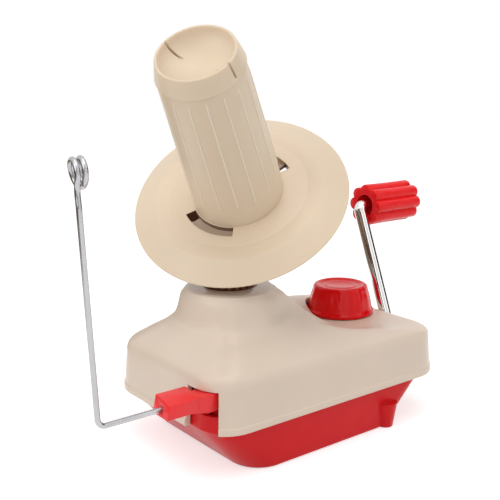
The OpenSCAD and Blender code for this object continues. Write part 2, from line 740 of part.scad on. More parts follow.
module winding_cone() color(ivory) on_spindle() difference() {
    rim = cone_top_r - 1.6;
    dish_steps = 6;
    under = cone_top - dish_depth - cone_wall;
    rotate_extrude($fn = 96) polygon(concat([[0, disc_top], [cone_foot_r, disc_top],
        [cone_neck_r - collar_step, cone_top - collar_h], [cone_neck_r, cone_top - collar_h],
        [cone_top_r, cone_top]],
        [for (i = [0:dish_steps]) [rim * cos(90 * i / dish_steps),
            cone_top - dish_depth * sin(90 * i / dish_steps)]]));
    rotate_extrude() polygon([[cone_boss_r, disc_top - 1], [cone_foot_r - cone_wall, disc_top - 1],
        [cone_side(cone_web) - cone_wall, cone_web], [cone_boss_r, cone_web]]);
    translate([0, 0, disc_top - 1]) cylinder(h = cone_web - disc_top - 1, r = cone_boss_r + 1);
    rotate_extrude() polygon([[cone_boss_r, cone_web + cone_web_t],
        [cone_side(cone_web) - cone_wall, cone_web + cone_web_t],
        [cone_side(under - 3) - cone_wall, under - 3], [rim - 5, under], [cone_boss_r, under]]);
    translate([0, 0, cone_web + cone_boss_h])
        cylinder(h = under - cone_web - cone_boss_h, r = cone_boss_r + past);
    translate([0, 0, cone_web - 3]) cylinder(h = cone_boss_h + 4, r = bush_r + fit);
    rotate([0, 0, slit_angle]) translate([-40, -slit_w / 2, cone_top - slit_depth]) cube([80, slit_w, 20]);
}

// Ring gear: teeth cut into a ring, whose top is a cone that lies against the disc's underside
module ring_gear() color(brown) on_spindle() rotate([180, 0, 0]) difference() {
    heel_z = ring_far * cos(ring_cone);
    toe_z = heel_z - ring_face * cos(ring_cone);
    toe_r = (ring_far - ring_face) * sin(ring_cone) - ring_module;
    cutter = bevel_ring(ring_teeth, ring_cone, ring_far, root_share * ring_module, tip_share * ring_module,
        -tooth_play);
    rotate_extrude($fn = 128) polygon([[disc_flat_r, fit - disc_under(0)],
        [ring_out, fit - disc_under(ring_out)], [ring_out, heel_z], [toe_r + 2, heel_z], [toe_r, toe_z],
        [disc_flat_r - 2, toe_z - 2]]);
    capped_loft([for (reach = [-2 * ring_face, ring_face]) cutter * ((ring_far + reach) / ring_far)]);
}

module disc_bush() color(brass) on_spindle(disc_boss_end)
    tube(bush_r, rotor_r + running, disc_top - disc_boss_end);

module cone_bush() color(brass) on_spindle(cone_web) tube(bush_r, rotor_r + running, cone_boss_h);

module crank_rod() color(steel) bent_rod([[crank_start, 0, crank_z], [crank_x, 0, crank_z], arm_top,
    [grip_pin_end, arm_top.y, arm_top.z]], crank_r, crank_bend);

module drive_gear() color(brown) translate([0, 0, crank_z]) rotate([0, 90, 0]) difference() {
    union() {
        bevel_gear(drive_teeth, drive_cone, drive_far, drive_face, drive_module);
        translate([0, 0, pinion_r]) cylinder(h = gear_hub_l, r = crank_r + gear_hub_wall);
    }
    cylinder(h = gear_bore_l, r = crank_r + fit);
}

module crank_collar() color(steel) translate([bracket_x + bracket_t + clip_gap, 0, crank_z])
    rotate([0, 90, 0]) tube(crank_r + crank_collar_wall, crank_r + fit, crank_collar_l);

// Pieces on the handle's pin, with Z along the pin
module on_grip(x) translate([x, arm_top.y, arm_top.z]) rotate([0, 90, 0]) children();

module grip_clip() color(steel) on_grip(grip_pin_end - clip_t)
    tube(crank_r + clip_wall, crank_r + fit, clip_t);

module handle_grip() color(red) on_grip(grip_start) difference() {
    lobe_r = grip_d * 0.17;
    intersection() {
        linear_extrude(grip_l) {
            circle(grip_d / 2 - 1.4);
            for (i = [1:grip_lobes]) rotate([0, 0, 360 * i / grip_lobes])
                translate([grip_d / 2 - lobe_r, 0]) circle(lobe_r);
        }
        rotate_extrude() polygon([[0, 0], [grip_d / 2 - 0.5, 0], [grip_d / 2 + 0.1, 0.8],
            [grip_d / 2 + 0.1, grip_l - 1.4], [grip_d / 2 - 1, grip_l], [0, grip_l]]);
    }
    translate([0, 0, -1]) cylinder(h = grip_hollow + 1, r = grip_hollow_r);
    translate([0, 0, -1]) cylinder(h = grip_l, r = crank_r + running);
    translate([0, 0, grip_l - 5 - clip_t - clip_gap]) cylinder(h = grip_l, r = crank_r + cap_wall);
}

module grip_cap() color(red) on_grip(grip_start + grip_l - cap_t)
    cylinder(h = cap_t, r = crank_r + cap_wall - fit);

module clamp_knob() color(red) on_clamp(seat_z + clip_gap) difference() {
    rotate_extrude($fn = 96) polygon([[0, 0], [knob_r, 0], [knob_r, 2.2], [knob_r - 0.9, 3],
        [knob_top_r + 0.7, knob_h - 1.4], [knob_top_r - 0.7, knob_h], [knob_top_r - 4.6, knob_h],
        [knob_top_r - 5.6, knob_h - 1], [0, knob_h - 1.2]]);
    translate([0, 0, -1]) cylinder(h = sleeve_hold + 1, r = sleeve_r + fit);
}

module clamp_sleeve() color(steel) on_clamp(sleeve_low)
    tube(sleeve_r, stud_r + running, seat_z + clip_gap + sleeve_hold - sleeve_low - 0.1);

module clamp_stud() color(steel) on_clamp(jaw_low) cylinder(h = stud_top - jaw_low, r = stud_r);

module clamp_jaw() color(steel) difference() {
    translate([clamp_x - jaw_l, clamp_y - jaw_w / 2, jaw_low]) cube([jaw_l + 8, jaw_w, jaw_t]);
    on_clamp(jaw_low - 1) cylinder(h = jaw_t + 2, r = stud_r + fit);
}

module jaw_pad() color(rubber) translate([clamp_x - jaw_l + 9, clamp_y, jaw_low + jaw_t])
    cylinder(h = pad_t, r = 6);

// Eyelet: the stem rises into the front of the left turn, then the wire winds to the right
eyelet_start = -30;
blend_rise = 4.5;
blend_steps = 10;
eyelet_axis = [cos(eyelet_yaw) * cos(eyelet_rise), -sin(eyelet_yaw) * cos(eyelet_rise), sin(eyelet_rise)];
eyelet_front = [-sin(eyelet_yaw), -cos(eyelet_yaw), 0];
eyelet_up = cross(eyelet_front, eyelet_axis);
function turn_dir(a) = cos(a) * eyelet_front + sin(a) * eyelet_up;
function eyelet_point(a) = [stem.x, stem.y, eyelet_z] + eyelet_r * (turn_dir(a) - eyelet_front)
    + eyelet_pitch * a / 360 * eyelet_axis;
function blend_point(t) = let (e = eyelet_point(eyelet_start), back = eyelet_r * turn_dir(eyelet_start - 90))
    (1 - t) ^ 3 * stem + 3 * (1 - t) ^ 2 * t * (stem + [0, 0, blend_rise])
    + 3 * (1 - t) * t ^ 2 * (e + back) + t ^ 3 * e;
eyelet_path = concat([stem - [0, 0, wire_d]], [for (i = [0:blend_steps - 1]) blend_point(i / blend_steps)],
    [for (i = [0:turn_rings * eyelet_turns]) eyelet_point(eyelet_start + 360 * i / turn_rings)]);

// Tube along a path; the side direction is carried from ring to ring
function path_dir(path, i) = unit(path[min(i + 1, len(path) - 1)] - path[max(i - 1, 0)]);
function square_to(v, d) = unit(v - d * (v * d));
function sides_along(path, i, last) = i == len(path) ? []
    : let (s = square_to(last, path_dir(path, i))) concat([s], sides_along(path, i + 1, s));
module wire_tube(path, r) {
    sides = sides_along(path, 0, [0, 1, 0]);
    capped_loft([for (i = [0:len(path) - 1]) let (d = path_dir(path, i), s = sides[i], t = cross(d, s))
        [for (k = [0:wire_sides - 1]) let (a = 360 * k / wire_sides)
            path[i] + r * (cos(a) * s + sin(a) * t)]]);
}

// Least gap of the eyelet's wire to itself, over points at least half a turn apart
eyelet_gap = min([for (i = [0:len(eyelet_path) - 1], j = [0:len(eyelet_path) - 1])
    if (j > i + turn_rings / 2) norm(eyelet_path[i] - eyelet_path[j])]) - wire_d;
echo(eyelet_gap = eyelet_gap);

module guide_wire() color(steel) {
    bent_rod([[block_x - block_l + socket_depth - 0.2, guide_y, guide_z], [-guide_x, guide_y, guide_z], stem],
        wire_r, guide_bend);
    wire_tube(eyelet_path, wire_r * 0.985);
}

base_tray();
cover();
cover_screws();
sun_gear();
neck_bush();
foot_bearing();
crank_bracket();
crank_bush();
guide_arm();
guide_screw();
rotor_shaft();
pinion();
spindle_collar();
rotor_clip();
winding_disc();
winding_cone();
ring_gear();
disc_bush();
cone_bush();
crank_rod();
drive_gear();
crank_collar();
grip_clip();
handle_grip();
grip_cap();
clamp_knob();
clamp_sleeve();
clamp_stud();
clamp_jaw();
jaw_pad();
guide_wire();
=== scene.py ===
import math

import bmesh
import bpy
from mathutils import Matrix, Vector


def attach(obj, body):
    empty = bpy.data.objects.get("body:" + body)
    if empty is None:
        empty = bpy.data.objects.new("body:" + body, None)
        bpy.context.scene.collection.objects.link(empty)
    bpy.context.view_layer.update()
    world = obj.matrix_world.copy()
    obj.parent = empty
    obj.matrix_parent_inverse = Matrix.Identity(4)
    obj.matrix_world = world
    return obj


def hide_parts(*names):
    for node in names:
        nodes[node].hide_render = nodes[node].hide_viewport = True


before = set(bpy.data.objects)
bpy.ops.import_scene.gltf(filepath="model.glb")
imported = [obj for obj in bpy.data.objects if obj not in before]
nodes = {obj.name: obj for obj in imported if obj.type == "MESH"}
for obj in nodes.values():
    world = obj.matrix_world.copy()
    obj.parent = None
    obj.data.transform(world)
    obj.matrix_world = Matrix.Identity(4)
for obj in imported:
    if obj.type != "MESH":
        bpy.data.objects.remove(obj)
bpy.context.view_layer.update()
scene = bpy.context.scene

# Sizes are in millimetres, as in the part's source, and become metres where meshes are made.
MM = 0.001
COVER_LEFT, COVER_RIGHT, COVER_HALF, COVER_CORNER = 44.8, 116.6, 49.5, 20.0
COVER_WALL, RIM_Z, BEAD_H, BEAD_OUT, SHOULDER_Z, WALL_LEAN = 2.4, 24.5, 3.6, 0.6, 47.5, 1.5
NECK_Z, NECK_R, NECK_PLATE = 83.5, 22.5, 9.0
SOCKET_R, SOCKET_STEP_R, SOCKET_STEP = 9.5, 14.6, 1.5
NECK_SOFT, NECK_FLAT_R, STUD_HOLE_R, BUSH_HOLE_R = 1.0, 17.5, 5.4, 6.02
WALL_INSET = BEAD_OUT + WALL_LEAN
TRAY_LEFT, TRAY_RIGHT, TRAY_HALF, TRAY_CORNER, TRAY_ROUND = 20.0, 82.6, 45.6, 16.0, 1.5
FLARE_LEFT, FLARE_RIGHT, FLARE_SIDE = 21.0, 25.4, 0.4
FLOOR_T, TRAY_WALL, LIP_H, LIP_LEAN = 3.0, 2.4, 8.0, 0.4
FOOT_R, FOOT_FLARE, FOOT_X, FOOT_SPAN, FOOT_H = 4.5, 2.0, 74.0, 88.0, 14.0
SCREW_X, SCREW_Y, POST_R = (-8.0, 66.0), 34.0, 4.5
JAW_ROOM_BACK, JAW_ROOM_FRONT, JAW_ROOM_HALF, JAW_ROOM_TOP = 45, 20, 9, 6.2
HOUSING_WALL, HOUSING_LOW, HOUSING_TOP = 2, 1.5, 8.6
BOSS_R, BOSS_LOW, BOSS_TOP, SLEEVE_SEAT, SLEEVE_R, STUD_R = 8, 8, 33, 9.6, 5.06, 3.4
TILT, LEAN, CROSS_Z = math.radians(41.2), math.radians(215.4), 147.8
DISC_R, DISC_FLAT_R, DISC_RISE, DISC_T, DISC_DROP = 58.0, 45.0, 5.0, 1.6, 28.5
DISC_BOSS_R, DISC_BOSS_END, BUSH_R = 8.0, -33.6, 5.02
SLOT_R, SLOT_W, SLOT_ANGLE, SLOT_END, SLOT_HOLES = 24.6, 5.4, 62.0, 7.5, {0: 8.5, 180: 12.0}
SLOT_LEDGE, SLOT_WALL, SLOT_WALL_ANGLE, SLOT_FLOOR, SLOT_FLAP = 2.9, 1.5, 3.0, 2.0, 4.6
SLOT_CUT_UP, SLOT_CUT_DOWN, FLAP_ANGLE = 5, 8, 2
GROOVE_R, GROOVE_W, GROOVE_DEPTH = 36.0, 2.0, 0.1
CONE_FOOT_R, CONE_NECK_R, CONE_TOP_R, CONE_H = 24.2, 21.5, 19.2, 93.8
COLLAR_H, COLLAR_STEP, DISH_DEPTH, DISH_R, DISH_T = 9.5, 0.6, 9.0, 17.6, 2
DISH_LIP_R, CONE_HOLLOW_R, CONE_HOLLOW_TOP_R, AXIS_R = 17.9, 22.2, 18.4, 0.02
WEB_LOW, WEB_TOP, WEB_HUB_TOP, WEB_R, WEB_HUB_R = 38, 41, 48, 20.0, 7.4
RIDGES, RIDGE_AT, RIDGE_H, RIDGE_FOOT, RIDGE_TOP = 16, 20.0, 0.42, 13.0, 12.0
SLIT_W, SLIT_DEPTH, SLIT_ANGLE = 1.2, 7.6, 67.0
DISC_TOP = DISC_RISE - DISC_DROP
CONE_TOP = DISC_TOP + CONE_H
CRANK_X, CRANK_Z, CRANK_ARM, CRANK_R, CRANK_LEAN = 121.0, 40.0, 74.0, 3.8, math.radians(21.5)
GRIP_L, GRIP_D, GRIP_LOBES, GRIP_LOBE_R, GRIP_GAP = 38.6, 26.0, 8, 4.0, 0.8
GRIP_MOUTH_R, GRIP_MOUTH, GRIP_CAP_DEPTH = 6.6, 8, 6.5
CLAMP_X, CLAMP_Y, SEAT_Z, KNOB_R, KNOB_TOP_R, KNOB_H = 88.8, 9.0, 50.5, 20.0, 15.4, 17.0
POCKET_R, SEAT_R, POCKET_FLOOR = KNOB_R + 0.7, KNOB_R + 0.4, 2.4
KNOB_BORE_R, KNOB_GAP, KNOB_FLUTES, KNOB_FLUTE_DEPTH = 5.02, 0.3, 16, 0.16
GUIDE_Y, GUIDE_Z, GUIDE_X, GUIDE_LEAN, GUIDE_BEND = -36.0, 42.6, 97.0, 4.4, 4.0
BLOCK_X, BLOCK_L, BLOCK_W, ARM_W, ARM_H = -48.0, 18.0, 13.0, 11.0, 9.0
BLOCK_LOW, BLOCK_TOP, ARM_LOW, PIVOT_R = GUIDE_Z - 3.4, GUIDE_Z + 4.4, GUIDE_Z - 6.4, 5.5
BLOCK_TILT, END_LEAN, PIVOT = math.radians(8), 2.0, (-31.0, -34.0)
WIRE_R, WIRE_IN, WIRE_FIT, STEM_SHORT, STEM_PULL = 1.3, 15.8, 0.06, 9.4, 4.5
EYELET_Z, EYELET_R, EYELET_PITCH, EYELET_TURNS = 152.0, 5.8, 3.4, 1.75
EYELET_YAW, EYELET_RISE, EYELET_START = math.radians(6), math.radians(6), -30.0


# Materials

def linear(rgb):
    """A colour written as sRGB values from 0 to 255, for a shader's socket."""
    out = []
    for c in rgb:
        c = c / 255
        out.append(c / 12.92 if c <= 0.04045 else ((c + 0.055) / 1.055) ** 2.4)
    return (*out, 1.0)


class Nodes:
    """A material's node tree, with short ways to add and join nodes."""

    def __init__(self, name):
        self.mat = bpy.data.materials.new(name)
        self.mat.use_nodes = True
        self.tree = self.mat.node_tree
        self.shader = self.tree.nodes["Principled BSDF"]
        self.coord = self.add("ShaderNodeTexCoord").outputs["Object"]

    def add(self, kind, **settings):
        n = self.tree.nodes.new(kind)
        for key, value in settings.items():
            setattr(n, key, value)
        return n

    def join(self, a, b):
        self.tree.links.new(a, b)

    def noise(self, scale, detail):
        n = self.add("ShaderNodeTexNoise")
        n.inputs["Scale"].default_value = scale
        n.inputs["Detail"].default_value = detail
        n.inputs["Roughness"].default_value = 0.55
        self.join(self.coord, n.inputs["Vector"])
        return n.outputs["Fac"]

    def span(self, value, low, high):
        """Spreads the middle of a noise over the range from low to high."""
        n = self.add("ShaderNodeMapRange")
        n.inputs["From Min"].default_value = 0.3
        n.inputs["From Max"].default_value = 0.7
        n.inputs["To Min"].default_value = low
        n.inputs["To Max"].default_value = high
        self.join(value, n.inputs["Value"])
        return n.outputs["Result"]

    def tint(self, value, a, b):
        n = self.add("ShaderNodeMix", data_type="RGBA")
        n.inputs[6].default_value = a
        n.inputs[7].default_value = b
        self.join(value, n.inputs[0])
        return n.outputs[2]

    def bump(self, value, strength, distance, under=None):
        n = self.add("ShaderNodeBump")
        n.inputs["Strength"].default_value = strength
        n.inputs["Distance"].default_value = distance
        self.join(value, n.inputs["Height"])
        if under:
            self.join(under, n.inputs["Normal"])
        return n.outputs["Normal"]

    def soft_edges(self, radius):
        n = self.add("ShaderNodeBevel", samples=6)
        n.inputs["Radius"].default_value = radius
        return n.outputs["Normal"]


def shift(rgb, by):
    return tuple(max(0, min(255, c + by)) for c in rgb)


def plastic(name, rgb, rough, vary, grain=0.05, sheen=0.5, glow=0.0, uneven=0.05, lines=None, recess=None):
    """Moulded plastic: slow drift of colour, uneven gloss and a fine mould texture.

    lines and recess are the colours mixed in where the mesh's two fields are 1: lines is a painted
    highlight on the ridges, recess is painted shade in the recesses.
    """
    n = Nodes(name)
    drift, gloss, fine = n.noise(26, 4), n.noise(85, 5), n.noise(2600, 2)
    colour = n.tint(n.span(drift, 0, 1), linear(shift(rgb, -vary)), linear(shift(rgb, vary)))
    for field, rgb_there in (("painted_ridge_highlight", lines), ("recess", recess)):
        if rgb_there:
            marked = n.add("ShaderNodeAttribute", attribute_name=field).outputs["Fac"]
            mixed = n.tint(marked, (0, 0, 0, 1), linear(rgb_there))
            n.join(colour, mixed.node.inputs[6])
            colour = mixed
    n.join(colour, n.shader.inputs["Base Color"])
    n.join(n.span(gloss, rough - uneven, rough + uneven), n.shader.inputs["Roughness"])
    n.join(n.bump(fine, grain, 0.00015, n.soft_edges(0.0006)), n.shader.inputs["Normal"])
    n.shader.inputs["IOR"].default_value = 1.49
    n.shader.inputs["Specular IOR Level"].default_value = sheen
    if glow:
        n.shader.inputs["Subsurface Weight"].default_value = glow
        n.shader.inputs["Subsurface Radius"].default_value = (0.004, 0.003, 0.002)
        n.shader.inputs["Subsurface Scale"].default_value = 0.7
    return n.mat


def metal(name, rgb, rough, vary, grain=0.03):
    """Bare or plated metal: slow drift of colour, uneven gloss and fine marks."""
    n = Nodes(name)
    drift, gloss, fine = n.noise(60, 4), n.noise(240, 4), n.noise(1400, 2)
    colour = n.tint(n.span(drift, 0, 1), linear(shift(rgb, -vary)), linear(shift(rgb, vary)))
    n.join(colour, n.shader.inputs["Base Color"])
    n.join(n.span(gloss, max(0.02, rough - 0.04), rough + 0.06), n.shader.inputs["Roughness"])
    n.join(n.bump(fine, grain, 0.0001), n.shader.inputs["Normal"])
    n.shader.inputs["Metallic"].default_value = 1.0
    return n.mat


IVORY = plastic("cover_ivory", (220, 203, 186), 0.30, vary=2, glow=0.25, uneven=0.015)
# The lighter lines colour is a painted highlight on the cone's ridges; the recess colour is painted shade
# in the disc's slots.
CREAM = plastic("spindle_cream", (222, 203, 178), 0.36, vary=2, glow=0.25, uneven=0.015,
                lines=(244, 232, 214), recess=(96, 50, 16))
TRAY_RED = plastic("tray_red", (210, 22, 28), 0.34, vary=6, sheen=0.2)
KNOB_RED = plastic("knob_red", (222, 4, 10), 0.14, vary=4, grain=0.02, sheen=0.24)
GRIP_RED = plastic("grip_red", (234, 20, 26), 0.28, vary=5, sheen=0.25)
ARM_RED = plastic("guide_red", (238, 44, 48), 0.34, vary=5, sheen=0.4)
BROWN = plastic("gear_brown", (124, 74, 44), 0.40, vary=8)
BLACK = plastic("pad_black", (30, 30, 31), 0.75, grain=0.3, vary=5)
CHROME = metal("rod_chrome", (222, 221, 220), 0.06, vary=4, grain=0.006)
WIRE = metal("wire_steel", (184, 184, 187), 0.24, vary=6, grain=0.01)
ZINC = metal("zinc_steel", (178, 180, 184), 0.34, vary=10)
BRASS = metal("bush_brass", (190, 156, 88), 0.30, vary=10)

NODE_LOOKS = {
    ZINC: ["cover_screws", "guide_screw", "spindle_collar", "rotor_clip", "crank_collar", "grip_clip",
           "clamp_sleeve", "clamp_stud", "clamp_jaw"],
    BRASS: ["neck_bush", "foot_bearing", "crank_bush", "disc_bush", "cone_bush"],
    BROWN: ["sun_gear", "pinion", "ring_gear", "drive_gear"],
    CHROME: ["rotor_shaft", "crank_rod"],
    TRAY_RED: ["crank_bracket", "base_tray"],
    BLACK: ["jaw_pad"],
    IVORY: ["cover"],
    CREAM: ["winding_disc", "winding_cone"],
    KNOB_RED: ["clamp_knob"],
    GRIP_RED: ["handle_grip", "grip_cap"],
    ARM_RED: ["guide_arm"],
    WIRE: ["guide_wire"],
}
for look, names in NODE_LOOKS.items():
    for name in names:
        data = nodes[name].data
        data.materials.clear()
        data.materials.append(look)


# Meshes

def new_object(name, verts, faces, material):
    me = bpy.data.meshes.new(name)
    me.from_pydata([Vector(v) * MM for v in verts], [], faces)
    bm = bmesh.new()
    bm.from_mesh(me)
    bmesh.ops.remove_doubles(bm, verts=bm.verts, dist=1e-7)
    bmesh.ops.recalc_face_normals(bm, faces=bm.faces)
    bm.to_mesh(me)
    bm.free()
    me.materials.append(material)
    ob = bpy.data.objects.new(name, me)
    scene.collection.objects.link(ob)
    return ob


def smooth(ob, degrees):
    ob.data.shade_smooth()
    ob.data.set_sharp_from_angle(angle=math.radians(degrees))


def bake(ob):
    """Applies an object's modifiers to its mesh."""
    done = bpy.data.meshes.new_from_object(ob.evaluated_get(bpy.context.evaluated_depsgraph_get()))
    ob.modifiers.clear()
    ob.data = done


def boolean(ob, operation, *tools):
    for t in tools:
        m = ob.modifiers.new(operation, "BOOLEAN")
        m.operation = operation
        m.solver = "EXACT"
        m.object = t
        bake(ob)
        bpy.data.objects.remove(t, do_unlink=True)


def place(ob, body, slot, *replaced):
    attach(ob, body)
    if replaced:
        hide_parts(*replaced)


def bands(rings, n, closed):
    faces = []
    for i in range(rings if closed else rings - 1):
        k = (i + 1) % rings
        for j in range(n):
            m = (j + 1) % n
            faces.append((i * n + j, k * n + j, k * n + m, i * n + m))
    return faces


def loft(name, rings, material, closed=False):
    """A skin over rings of points: closed joins the last ring to the first, open has end faces."""
    n = len(rings[0])
    verts = [p for ring in rings for p in ring]
    faces = bands(len(rings), n, closed)
    if not closed:
        faces.append(tuple(range(n)))
        faces.append(tuple(range(len(verts) - 1, len(verts) - 1 - n, -1)))
    return new_object(name, verts, faces, material)


def lathe(name, profile, material, steps=128, angles=None, lift=None):
    """Turns a closed profile of (radius, height) about Z. lift(angle, r, z) may add to the radius."""
    angles = angles or [360 * i / steps for i in range(steps)]
    rings = []
    for r, z in profile:
        ring = []
        for a in angles:
            q = r + (lift(a, r, z) if lift else 0)
            ring.append((q * math.cos(math.radians(a)), q * math.sin(math.radians(a)), z))
        rings.append(ring)
    return loft(name, rings, material, closed=True)


def box_tool(low, high):
    x0, y0, z0 = low
    x1, y1, z1 = high
    verts = [(x, y, z) for z in (z0, z1) for y in (y0, y1) for x in (x0, x1)]
    faces = [(0, 2, 3, 1), (4, 5, 7, 6), (0, 1, 5, 4), (2, 6, 7, 3), (0, 4, 6, 2), (1, 3, 7, 5)]
    return new_object("tool", verts, faces, IVORY)


def drum_tool(x, y, z0, z1, r, steps=96):
    rings = [[(x + r * math.cos(2 * math.pi * i / steps), y + r * math.sin(2 * math.pi * i / steps), z)
              for i in range(steps)] for z in (z0, z1)]
    return loft("tool", rings, IVORY)


def along(a, b, t):
    return a + (b - a) * t


def outline(left, right, half, r, corner=14, side=26, end=14):
    """A rounded rectangle from x = left to x = right, counter-clockwise."""
    def quarter(cx, cy, start):
        return [(cx + r * math.cos(math.radians(start + 90 * i / corner)),
                 cy + r * math.sin(math.radians(start + 90 * i / corner))) for i in range(corner + 1)]

    def between(p, q, n):
        return [(along(p[0], q[0], i / (n + 1)), along(p[1], q[1], i / (n + 1))) for i in range(1, n + 1)]

    a = quarter(right - r, half - r, 0)
    b = quarter(left + r, half - r, 90)
    c = quarter(left + r, r - half, 180)
    d = quarter(right - r, r - half, 270)
    return (a + between(a[-1], b[0], side) + b + between(b[-1], c[0], end)
            + c + between(c[-1], d[0], side) + d + between(d[-1], a[0], end))


def at(points, z):
    return [(x, y, z) for x, y in points]


# Camera, light and stage

cam = bpy.data.objects.new("camera", bpy.data.cameras.new("camera"))
cam.data.sensor_width = 36.0
cam.data.lens = 60.64
cam.data.clip_start, cam.data.clip_end = 0.01, 50
cam.location = (-0.2521, -0.3430, 0.1952)
CAM_DOWN, CAM_HEADING = 12.4, 52.24
cam.rotation_euler = (math.radians(90 - CAM_DOWN), 0, math.radians(CAM_HEADING - 90))
scene.collection.objects.link(cam)
scene.camera = cam
scene.view_settings.view_transform = "Standard"


AIM = (0.02, 0, 0.10)


def lamp(name, where, size, watts):
    data = bpy.data.lights.new(name, "AREA")
    data.shape = "RECTANGLE"
    data.size, data.size_y = size
    data.energy = watts
    ob = bpy.data.objects.new(name, data)
    ob.location = where
    ob.rotation_euler = (Vector(AIM) - Vector(where)).to_track_quat("-Z", "Y").to_euler()
    scene.collection.objects.link(ob)


lamp("left_box", (-0.95, 0.05, 0.55), (0.7, 0.9), 2.5)
lamp("right_box", (0.80, -0.75, 0.50), (0.7, 0.9), 1.6)
lamp("top_box", (-0.10, -0.15, 1.15), (0.9, 0.9), 3.8)
lamp("front_box", (-0.75, -0.95, 0.45), (0.9, 0.7), 1.0)


def seen_directly(tree):
    """1 for rays from the camera, a mirror or glass, and 0 for the light that reaches a matt surface."""
    path = tree.nodes.new("ShaderNodeLightPath")
    total = path.outputs["Is Camera Ray"]
    for extra in ("Is Glossy Ray", "Is Transmission Ray"):
        add = tree.nodes.new("ShaderNodeMath")
        add.operation = "MAXIMUM"
        tree.links.new(total, add.inputs[0])
        tree.links.new(path.outputs[extra], add.inputs[1])
        total = add.outputs[0]
    return total


WORLD_LEVEL, FLOOR_GREY, FLOOR_GLOW = 0.65, 0.72, 0.56
world = bpy.data.worlds.new("studio")
world.use_nodes = True
scene.world = world
wt = world.node_tree
soft = wt.nodes["Background"]
soft.inputs["Color"].default_value = (1.0, 0.985, 0.97, 1)
soft.inputs["Strength"].default_value = WORLD_LEVEL
white = wt.nodes.new("ShaderNodeBackground")
white.inputs["Strength"].default_value = 1.0
white.inputs["Color"].default_value = (1, 1, 1, 1)
choose = wt.nodes.new("ShaderNodeMixShader")
wt.links.new(seen_directly(wt), choose.inputs[0])
wt.links.new(soft.outputs[0], choose.inputs[1])
wt.links.new(white.outputs[0], choose.inputs[2])
wt.links.new(choose.outputs[0], wt.nodes["World Output"].inputs["Surface"])

floor_look = bpy.data.materials.new("floor_white")
floor_look.use_nodes = True
ft = floor_look.node_tree
ft.nodes.remove(ft.nodes["Principled BSDF"])
matt = ft.nodes.new("ShaderNodeBsdfDiffuse")
matt.inputs["Color"].default_value = (FLOOR_GREY, FLOOR_GREY, FLOOR_GREY, 1)
glow = ft.nodes.new("ShaderNodeEmission")
glow_level = ft.nodes.new("ShaderNodeMath")
glow_level.operation = "MULTIPLY"
glow_level.inputs[1].default_value = FLOOR_GLOW
ft.links.new(seen_directly(ft), glow_level.inputs[0])
ft.links.new(glow_level.outputs[0], glow.inputs["Strength"])
both = ft.nodes.new("ShaderNodeAddShader")
ft.links.new(matt.outputs[0], both.inputs[0])
ft.links.new(glow.outputs[0], both.inputs[1])
ft.links.new(both.outputs[0], ft.nodes["Material Output"].inputs["Surface"])

FLOOR_HALF, FLOOR_Z = 6000, -0.2
floor_corners = [(x * FLOOR_HALF, y * FLOOR_HALF, FLOOR_Z) for x, y in ((-1, -1), (1, -1), (1, 1), (-1, 1))]
floor = new_object("floor", floor_corners, [(0, 1, 2, 3)], floor_look)


def flag(name, rgb, heading, distance, width, low, high):
    """A card that only mirrors see, for the dark lines in the bright metal."""
    look = bpy.data.materials.new(name)
    look.use_nodes = True
    look.node_tree.nodes["Principled BSDF"].inputs["Base Color"].default_value = linear(rgb)
    look.node_tree.nodes["Principled BSDF"].inputs["Roughness"].default_value = 1.0
    a = math.radians(heading)
    c = Vector((math.cos(a), math.sin(a), 0)) * distance
    s = Vector((-math.sin(a), math.cos(a), 0)) * width / 2
    verts = [c - s + Vector((0, 0, low)), c + s + Vector((0, 0, low)),
             c + s + Vector((0, 0, high)), c - s + Vector((0, 0, high))]
    ob = new_object(name, verts, [(0, 1, 2, 3)], look)
    ob.visible_camera = False
    ob.visible_diffuse = False
    ob.visible_shadow = False
    ob.visible_transmission = False


flag("flag_front", (22, 21, 21), 224, 780, 330, 240, 560)
flag("flag_right", (20, 20, 21), 332, 976, 784, 100, 720)
flag("flag_left", (122, 102, 84), 160, 420, 900, 0, 230)
flag("flag_low", (150, 130, 110), 108, 209, 240, 0, 130)


# Cover

# Share of the way from the neck to the wall, then share of the neck's height.
# The first table is for all round, the second for the side towards the crank.
CROWN = [(0, 1), (0.02, 0.97), (0.11, 0.85), (0.14, 0.72), (0.18, 0.605), (0.22, 0.54), (0.3, 0.48),
         (0.4, 0.41), (0.53, 0.345), (0.78, 0.21), (0.97, 0.075), (1, 0)]
CRANK_CROWN = [(0, 1), (0.02, 0.93), (0.05, 0.8), (0.1, 0.69), (0.21, 0.5), (0.34, 0.25), (0.44, 0.105),
               (0.52, 0.083), (0.94, 0.077), (0.98, 0.05), (1, 0)]
LEVEL_DIR, LEVEL_ANGLE, BLEND_ANGLE = -6.0, 8.0, 32.0


def pchip(table, x):
    """Smooth curve through the points of a falling table, with no overshoot."""
    xs = [p[0] for p in table]
    ys = [p[1] for p in table]
    h = [xs[i + 1] - xs[i] for i in range(len(xs) - 1)]
    d = [(ys[i + 1] - ys[i]) / h[i] for i in range(len(h))]
    m = [d[0]] + [0 if d[i - 1] * d[i] <= 0 else
                  (h[i - 1] + h[i]) * 3 / ((2 * h[i] + h[i - 1]) / d[i - 1] + (h[i] + 2 * h[i - 1]) / d[i])
                  for i in range(1, len(d))] + [d[-1]]
    i = max(k for k in range(len(h)) if x >= xs[k] or k == 0)
    t = (x - xs[i]) / h[i]
    return (ys[i] * (1 + 2 * t) * (1 - t) ** 2 + h[i] * m[i] * t * (1 - t) ** 2
            + ys[i + 1] * t * t * (3 - 2 * t) + h[i] * m[i + 1] * t * t * (t - 1))


def cover_outline(inset):
    return outline(inset - COVER_LEFT, COVER_RIGHT - inset, COVER_HALF - inset, COVER_CORNER - inset)


def crown_height(share, a):
    t = max(0, min(1, (BLEND_ANGLE - abs(math.degrees(a) - LEVEL_DIR)) / (BLEND_ANGLE - LEVEL_ANGLE)))
    crankward = t * t * (3 - 2 * t)
    height = along(pchip(CROWN, share), pchip(CRANK_CROWN, share), crankward)
    return SHOULDER_Z + (NECK_Z - SHOULDER_Z) * height


